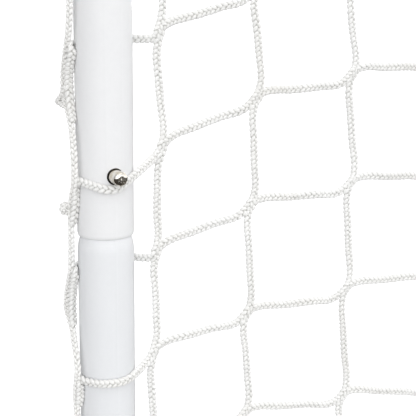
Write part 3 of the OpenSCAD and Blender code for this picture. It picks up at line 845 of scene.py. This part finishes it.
def top_back_panel(seed):
    rng = np.random.default_rng(seed)
    nodes = {}
    n_col = 26
    s_end = TB_S[-1]
    n_row = int((s_end - 0.026 - 0.036) / PITCH) + 1
    pitch = (s_end - 0.026 - 0.036) / (n_row - 1)
    for i in range(n_col):
        for k in range(n_row):
            x = (i - (n_col - 1) / 2) * 0.0505 + rng.normal(0, 0.0012)
            s = 0.026 + pitch * k + rng.normal(0, 0.0011)
            p, n = tb(x, s)
            nodes[(i, k)] = (p, n)

    def ends(q, way):
        i, k = q
        P, n = nodes[q]
        if way == "above":        # round the crossbar to the border cord in front of it
            side = 1 if i % 2 else -1
            C = np.array([P[0], YF, ZT])
            e1 = np.array([0, n[2], -n[1]])
            if e1[1] < 0:
                e1 = -e1
            P2, N2 = wrap(P, C, e1, n, side, 180 + side * math.degrees(math.asin(abs(n[1]))) * -1, 0.0150)
            return list(zip(P2, N2))
        if way == "down":         # round the rear rail to the cord low outside it
            side = -1 if i % 2 else 1     # e2 points out at the back: +1 passes outside
            x = P[0]
            yc = YR
            if abs(x) > XP - BEND_R:
                yc = YR - BEND_R + math.sqrt(max(BEND_R ** 2 - (abs(x) - XP + BEND_R) ** 2, 0))
            C = np.array([x, yc, R])
            P2, N2 = wrap(P, C, [0, 0, 1], [0, 1, 0], side, 180 - side * 49.6, 0.0156)
            return list(zip(P2, N2))
        sg = -1 if way == "left" else 1
        s = np.interp(0, [0], [0])
        # the strand runs out level to the seam
        s = 0.026 + pitch * k
        p1, n1 = tb(sg * (edge_x(s) - 0.012), s)
        p2, n2 = tb(sg * edge_x(s), s)
        if s < S_HOOP:
            p2[2] -= 0.001
        return [(p1, n1), (p2, n2)]

    return Panel(nodes, ends, lambda q: 0, seed + 50)


# ------------------------------------------------------------------ make the net
def add(name, me, mat, slot_name, *stands_for):
    ob = bpy.data.objects.new(name, me)
    scene.collection.objects.link(ob)
    me.materials.append(mat)
    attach(ob, "frame")
    if stands_for:
        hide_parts(*stands_for)
    return ob


left_c, left_f = Pile(), Pile()
lay(side_panel(-1, True, 11), left_c, left_f)
add("net_left_side", left_c.mesh("net_left_side"), TWINE, "netting", "left_side_net")
add("net_left_side_at_joint", left_f.mesh("net_left_side_at_joint"), TWINE_FINE, "netting")

right_c, none = Pile(), Pile()
lay(side_panel(1, False, 23), right_c, none)
add("net_right_side", right_c.mesh("net_right_side"), TWINE, "netting", "right_side_net")

tbp = top_back_panel(37)
tb_lines = tbp.lines()
top_c, back_c = Pile(), Pile()
for line in tb_lines:
    P, N, F = catmull([x[0] for x in line], [x[1] for x in line], [x[2] for x in line])
    P, N = tuck(P, N)
    # the part over the shelf and the part down the back are two pieces
    hi = P[:, 1] < YH
    start = 0
    s = np.concatenate([[0], np.cumsum(np.linalg.norm(np.diff(P, axis=0), axis=1))])
    for j in range(1, len(P) + 1):
        if j == len(P) or hi[j] != hi[start]:
            a, b = max(start - 1, 0), min(j + 1, len(P))
            if b - a >= 3:
                rope(top_c if hi[start] else back_c, P[a:b], N[a:b], tbp.rng, s[a])
            start = j
add("net_top", top_c.mesh("net_top"), TWINE, "netting", "top_net")
add("net_back", back_c.mesh("net_back"), TWINE, "netting", "back_net")

# ------------------------------------------------------------------ border and seam cords
CORD_R = 0.0020


def cord_mesh(pile, P, N, rng, half=CORD_R, thick=0.0016, step=0.0024, sides=8):
    P, N, F = catmull(P, N, np.zeros(len(P)), 10)
    rope(pile, P, N, rng, 0.0, half, thick, step, sides)


def front_border():
    """Up the left post, along the crossbar, down the right post."""
    rng = np.random.default_rng(5)
    y0 = YF - R - 0.0028
    near = [(2.0, 700), (2.0, 680), (2.0, 663.2), (0.7, 652.9), (-2.4, 644.4), (-4.6, 640.1), (-7.6, 631.4), (-7.8, 624.8), (-5.3, 619.0),
            (-2.0, 614.9), (1.3, 610.1), (2.8, 604.2), (4.0, 595.6), (4.2, 588.7), (3.6, 585.0), (0.8, 579.6), (-1.5, 574.1),
            (-2.1, 569.0), (-2.0, 563.1), (-2.0, 556.2), (-2.4, 549.2), (-3.4, 543.4), (-7.3, 536.1), (-10.0, 529.6),
            (-10.5, 524.2), (-6.9, 520.4), (-3.4, 516.8), (-0.2, 509.7), (2.1, 503.3), (3.2, 498.8), (2.1, 494.5), (0.6, 488.1),
            (0.3, 483.0), (1.3, 475.5), (-1.0, 458), (-2.0, 444)]
    left = [(c * MM, YF - 0.0156, z * MM) for c, z in reversed(near)]
    lower, upper = [], []
    z = left[0][2] - 0.022
    s = 1
    while z > 0.10:
        lower.append((0.003 * s, y0, z))
        z -= 0.0253
        s = {1: 0.2, 0.2: -1, -1: 0.1, 0.1: 1}[s]
    lower.reverse()
    z = left[-1][2] + 0.024
    while z < ZT - BEND_T - 0.01:
        upper.append((0.0022 * s, y0, z))
        z += 0.0253
        s = {1: 0.2, 0.2: -1, -1: 0.1, 0.1: 1}[s]
    plain = [(0.0028 * math.sin(z / 0.0253 * math.pi / 2), y0, z) for z in np.arange(0.10, ZT - BEND_T - 0.01, 0.0253)]
    # round the foot: from in front of the bend to its outer lower side
    def foot(sign):
        out = []
        for th in np.linspace(math.pi / 2, 0.06, 9):
            al = math.radians(49.6) * float(smooth(th / (math.pi / 2)))
            fy, fz = foot_axis(th)
            o = np.array([-math.cos(th), -math.sin(th)])
            r = 0.0157
            out.append(((sign * (XP + r * math.sin(al)), fy + o[0] * r * math.cos(al), fz + o[1] * r * math.cos(al)), (0, -1, 0.2)))
        return out
    P, N = [], []
    L = [((-(XP - c), y, z), (0.3, -1, 0)) for c, y, z in lower]
    L += [((-(XP - c), y, z), (0.87, -0.44, 0.12)) for c, y, z in left]
    L += [((-(XP - c), y, z), (0.3, -1, 0)) for c, y, z in upper]
    corner = [((-(XP - BEND_T + BEND_T * math.cos(a)), y0, ZT - BEND_T + BEND_T * math.sin(a)), (0, -1, 0)) for a in np.linspace(0, math.pi / 2, 9)]
    bar = [((x, y0, ZT + 0.0024 * math.sin(x / 0.0253 * math.pi / 2)), (0, -1, 0)) for x in np.arange(-XP + BEND_T + 0.02, XP - BEND_T - 0.01, 0.0253)]
    corner2 = [((-p[0], p[1], p[2]), n) for p, n in reversed(corner)]
    Rr = [(((XP - c), y, z), (0, -1, 0)) for c, y, z in reversed(plain)]
    foot_r = list(reversed(foot(1)))
    return foot(-1) + L + corner + bar + corner2 + Rr + foot_r, rng


path, rng = front_border()
coarse, fine = Pile(), Pile()
P, N, F = catmull([p for p, n in path], [n for p, n in path], np.zeros(len(path)), 10)
near = (P[:, 0] < -0.6) & (P[:, 2] > 0.44) & (P[:, 2] < 0.70)
idx = np.flatnonzero(near)
a, b = idx[0], idx[-1]
rope(coarse, P[:a + 2], N[:a + 2], rng, 0.0, CORD_R, 0.0016, 0.0022, 8)
rope(coarse, P[b - 1:], N[b - 1:], rng, 0.0, CORD_R, 0.0016, 0.0022, 8)
braid(fine, P[a:b + 1], N[a:b + 1], rng, 0.0, 0.00152, 0.0013, 0.0005, 8, 0.0072, 0.30)

# the cut end of the twine, and a small knot beside the cord
xl = -XP
stub = [(-0.0040, -0.0160, 0.6268), (-0.0078, -0.0164, 0.6232), (-0.0116, -0.0164, 0.6206), (-0.0150, -0.0164, 0.6190)]
Ps, Ns, _ = catmull([(xl + c, YF + y, z) for c, y, z in stub], [(1, 0, 0)] * 4, np.zeros(4))
braid(fine, Ps, Ns, rng, 0.0, 0.0014, 0.0011, 0.0005, 8, 0.0060, 0.2)
stub = [(-0.0050, -0.0164, 0.6182), (-0.0084, -0.0168, 0.6186), (-0.0118, -0.0168, 0.6190), (-0.0146, -0.0166, 0.6190)]
Ps, Ns, _ = catmull([(xl + c, YF + y, z) for c, y, z in stub], [(1, 0, 0)] * 4, np.zeros(4))
braid(fine, Ps, Ns, rng, 0.0, 0.0013, 0.0010, 0.0005, 8, 0.0060, 0.2)
th = np.linspace(-0.3, 2 * math.pi * 1.55, 26)
kc = np.array([xl - 0.0038, YF - 0.0176, 0.5727])
rk = 0.00185 * (1 - 0.05 * th / 6)
knot = kc + np.stack([-0.0011 + 0.00035 * th, rk * np.cos(th) * 0.95, rk * np.sin(th) * 1.25], 1)
braid(fine, knot, unit(knot - kc), rng, 0.0, 0.00125, 0.00100, 0.00045, 8, 0.0050, 0.1)
core = kc + np.stack([np.linspace(-0.0012, 0.0022, 8), np.zeros(8), np.linspace(-0.0006, 0.0006, 8)], 1)
braid(fine, core, np.tile([0, -1.0, 0], (8, 1)), rng, 0.0, 0.0013, 0.0011, 0.00045, 8, 0.0050, 0.1)
add("cord_front_border", coarse.mesh("cord_front_border"), TWINE, "border_cord", "front_border_cord")
add("cord_front_border_at_joint", fine.mesh("cord_front_border_at_joint"), TWINE_CORD_PAINTED_LIGHTER, "border_cord")


def base_border():
    off, z = 0.0120, 0.0025
    left = [((-(XP + off), y, z), (-0.7, 0, -0.7)) for y in np.arange(YF + BEND_F + 0.004, YR - BEND_R, 0.0253)]
    rc = BEND_R + off
    cl = [((-(XP - BEND_R + rc * math.cos(a)), YR - BEND_R + rc * math.sin(a), z), (-math.cos(a), math.sin(a), -0.5)) for a in np.linspace(0.08, math.pi / 2, 10)]
    bar = [((x, YR + off + 0.0006 * math.sin(x * 90), z), (0, 0.7, -0.7)) for x in np.arange(-XP + BEND_R + 0.02, 0.0, 0.0253)]
    half = left + cl + bar
    return half + [((-p[0], p[1], p[2]), (-n[0], n[1], n[2])) for p, n in reversed(half)]


pile, rng = Pile(), np.random.default_rng(6)
path = base_border()
cord_mesh(pile, [p for p, n in path], [n for p, n in path], rng)
add("cord_base_border", pile.mesh("cord_base_border"), TWINE, "border_cord", "base_border_cord")


def seam(sign, seed):
    """The cord along the seam, and the thinner lacing that winds round it through the meshes."""
    rng = np.random.default_rng(seed)
    X = lambda c: sign * (XP - c)
    top = [(X(0.007), TOP_A[0] + t * (TOP_B[0] - TOP_A[0]), TOP_A[1] + t * (TOP_B[1] - TOP_A[1])) for t in np.linspace(0, 1, 14)]
    turn = [(X(-0.002), YH + 0.004, ZH + R + 0.006), (X(-0.0045), YH + 0.012, ZH + R + 0.0005)]
    rear = [(X(-0.005), REAR_A[0] + t * (REAR_B[0] - REAR_A[0]), REAR_A[1] + t * (REAR_B[1] - REAR_A[1])) for t in np.linspace(0, 1, 40)]
    pts = top + turn + rear
    P, N, F = catmull(pts, [(-sign * 0.3, 0.2, 1.0)] * 14 + [(-sign * 0.5, 0.7, 0.6)] * 2 + [(-sign * 0.4, 1, 0.1)] * 40, np.zeros(len(pts)), 8)
    P, N = tuck(P, N, True)
    pile = Pile()
    rope(pile, P, N, rng, 0.0, 0.0017, 0.0015, 0.0020, 8)
    P, N, F, q = even(P, N, F, 0.0018)
    T, B, W = axes(P, N)
    a = 2 * math.pi * q / 0.0253 + 0.5 * wander(rng, q, (0.12, 0.21))
    lace = P + 0.0027 * (B * np.cos(a)[:, None] + W * np.sin(a)[:, None])
    rad = unit(lace - P)
    rope(pile, lace, rad, rng, 0.0, 0.0011, 0.0009, 0.0018, 6)
    return pile


add("cord_left_seam", seam(-1, 8).mesh("cord_left_seam"), TWINE, "border_cord", "left_seam_cord")
add("cord_right_seam", seam(1, 9).mesh("cord_right_seam"), TWINE, "border_cord", "right_seam_cord")

# ------------------------------------------------------------------ floor, lights, world
lo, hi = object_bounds()
floor_z = min(lo.z, 0.0) - 0.0001
bpy.ops.mesh.primitive_plane_add(size=120, location=(0, 0, floor_z))
floor = bpy.context.object
floor.name = "floor"
fm = Nodes("floor_pale")
fm.bsdf.inputs["Base Color"].default_value = (0.90, 0.90, 0.90, 1)
fm.bsdf.inputs["Roughness"].default_value = 0.9
fm.bsdf.inputs["Emission Color"].default_value = (1, 1, 1, 1)
fm.bsdf.inputs["Emission Strength"].default_value = 0.20
# the floor looks white, but the light it throws back on the goal is that of a grey studio floor, and metal mirrors it dark
path_kind = fm.add("ShaderNodeLightPath")
grey = fm.add("ShaderNodeBsdfDiffuse")
grey.inputs["Color"].default_value = (0.62, 0.62, 0.62, 1)
dark = fm.add("ShaderNodeBsdfDiffuse")
dark.inputs["Color"].default_value = (0.05, 0.046, 0.04, 1)
mirror = fm.add("ShaderNodeMixShader")
fm.link(path_kind.outputs["Is Glossy Ray"], mirror.inputs[0])
fm.link(grey.outputs[0], mirror.inputs[1])
fm.link(dark.outputs[0], mirror.inputs[2])
pick = fm.add("ShaderNodeMixShader")
fm.link(path_kind.outputs["Is Camera Ray"], pick.inputs[0])
fm.link(mirror.outputs[0], pick.inputs[1])
fm.link(fm.bsdf.outputs[0], pick.inputs[2])
fm.link(pick.outputs[0], fm.out.inputs[0])
floor.data.materials.append(fm.mat)

world = bpy.data.worlds.new("studio")
scene.world = world
world.use_nodes = True
wt = world.node_tree
wt.nodes.clear()
wo = wt.nodes.new("ShaderNodeOutputWorld")
bg = wt.nodes.new("ShaderNodeBackground")
wt.links.new(bg.outputs[0], wo.inputs[0])
tc = wt.nodes.new("ShaderNodeTexCoord")
dot = wt.nodes.new("ShaderNodeVectorMath")
dot.operation = "DOT_PRODUCT"
wt.links.new(tc.outputs["Generated"], dot.inputs[0])
dot.inputs[1].default_value = (-0.45, -0.89, 0.0)
wr = wt.nodes.new("ShaderNodeValToRGB")
stops = ((0.0, 0.66), (0.20, 0.80), (0.37, 1.0), (0.62, 1.0), (0.74, 0.58), (0.97, 0.20))
while len(wr.color_ramp.elements) < len(stops):
    wr.color_ramp.elements.new(0.5)
for el, (pos, c) in zip(wr.color_ramp.elements, stops):
    el.position = pos
    el.color = (c, c * 1.003, c * 1.012, 1)
half = wt.nodes.new("ShaderNodeMath")
half.operation = "MULTIPLY_ADD"
half.inputs[1].default_value, half.inputs[2].default_value = 0.5, 0.5
wt.links.new(dot.outputs["Value"], half.inputs[0])
wt.links.new(half.outputs[0], wr.inputs[0])
# softer from straight above, so that the light comes in from the sides
axis = wt.nodes.new("ShaderNodeSeparateXYZ")
wt.links.new(tc.outputs["Generated"], axis.inputs[0])
lid = wt.nodes.new("ShaderNodeMapRange")
lid.inputs["From Min"].default_value, lid.inputs["From Max"].default_value = 0.15, 1.0
lid.inputs["To Min"].default_value, lid.inputs["To Max"].default_value = 1.0, 0.40
wt.links.new(axis.outputs[2], lid.inputs["Value"])
dim = wt.nodes.new("ShaderNodeVectorMath")
dim.operation = "SCALE"
wt.links.new(wr.outputs[0], dim.inputs[0])
wt.links.new(lid.outputs[0], dim.inputs["Scale"])
wt.links.new(dim.outputs[0], bg.inputs["Color"])
bg.inputs["Strength"].default_value = 2.42


def area(name, loc, target, size, power, colour=(1, 1, 1)):
    ld = bpy.data.lights.new(name, "AREA")
    ld.shape = "DISK"
    ld.size = size
    ld.energy = power
    ld.color = colour
    lo_ = bpy.data.objects.new(name, ld)
    scene.collection.objects.link(lo_)
    lo_.location = loc
    lo_.rotation_euler = (Vector(target) - Vector(loc)).to_track_quat("-Z", "Y").to_euler()
    return lo_


area("overhead", (0.8, 0.4, 4.0), (0, 0, 0.5), 2.5, 9)

scene.view_settings.view_transform = "Standard"
scene.view_settings.look = "None"
scene.view_settings.exposure = 0.0
scene.view_settings.gamma = 1.0
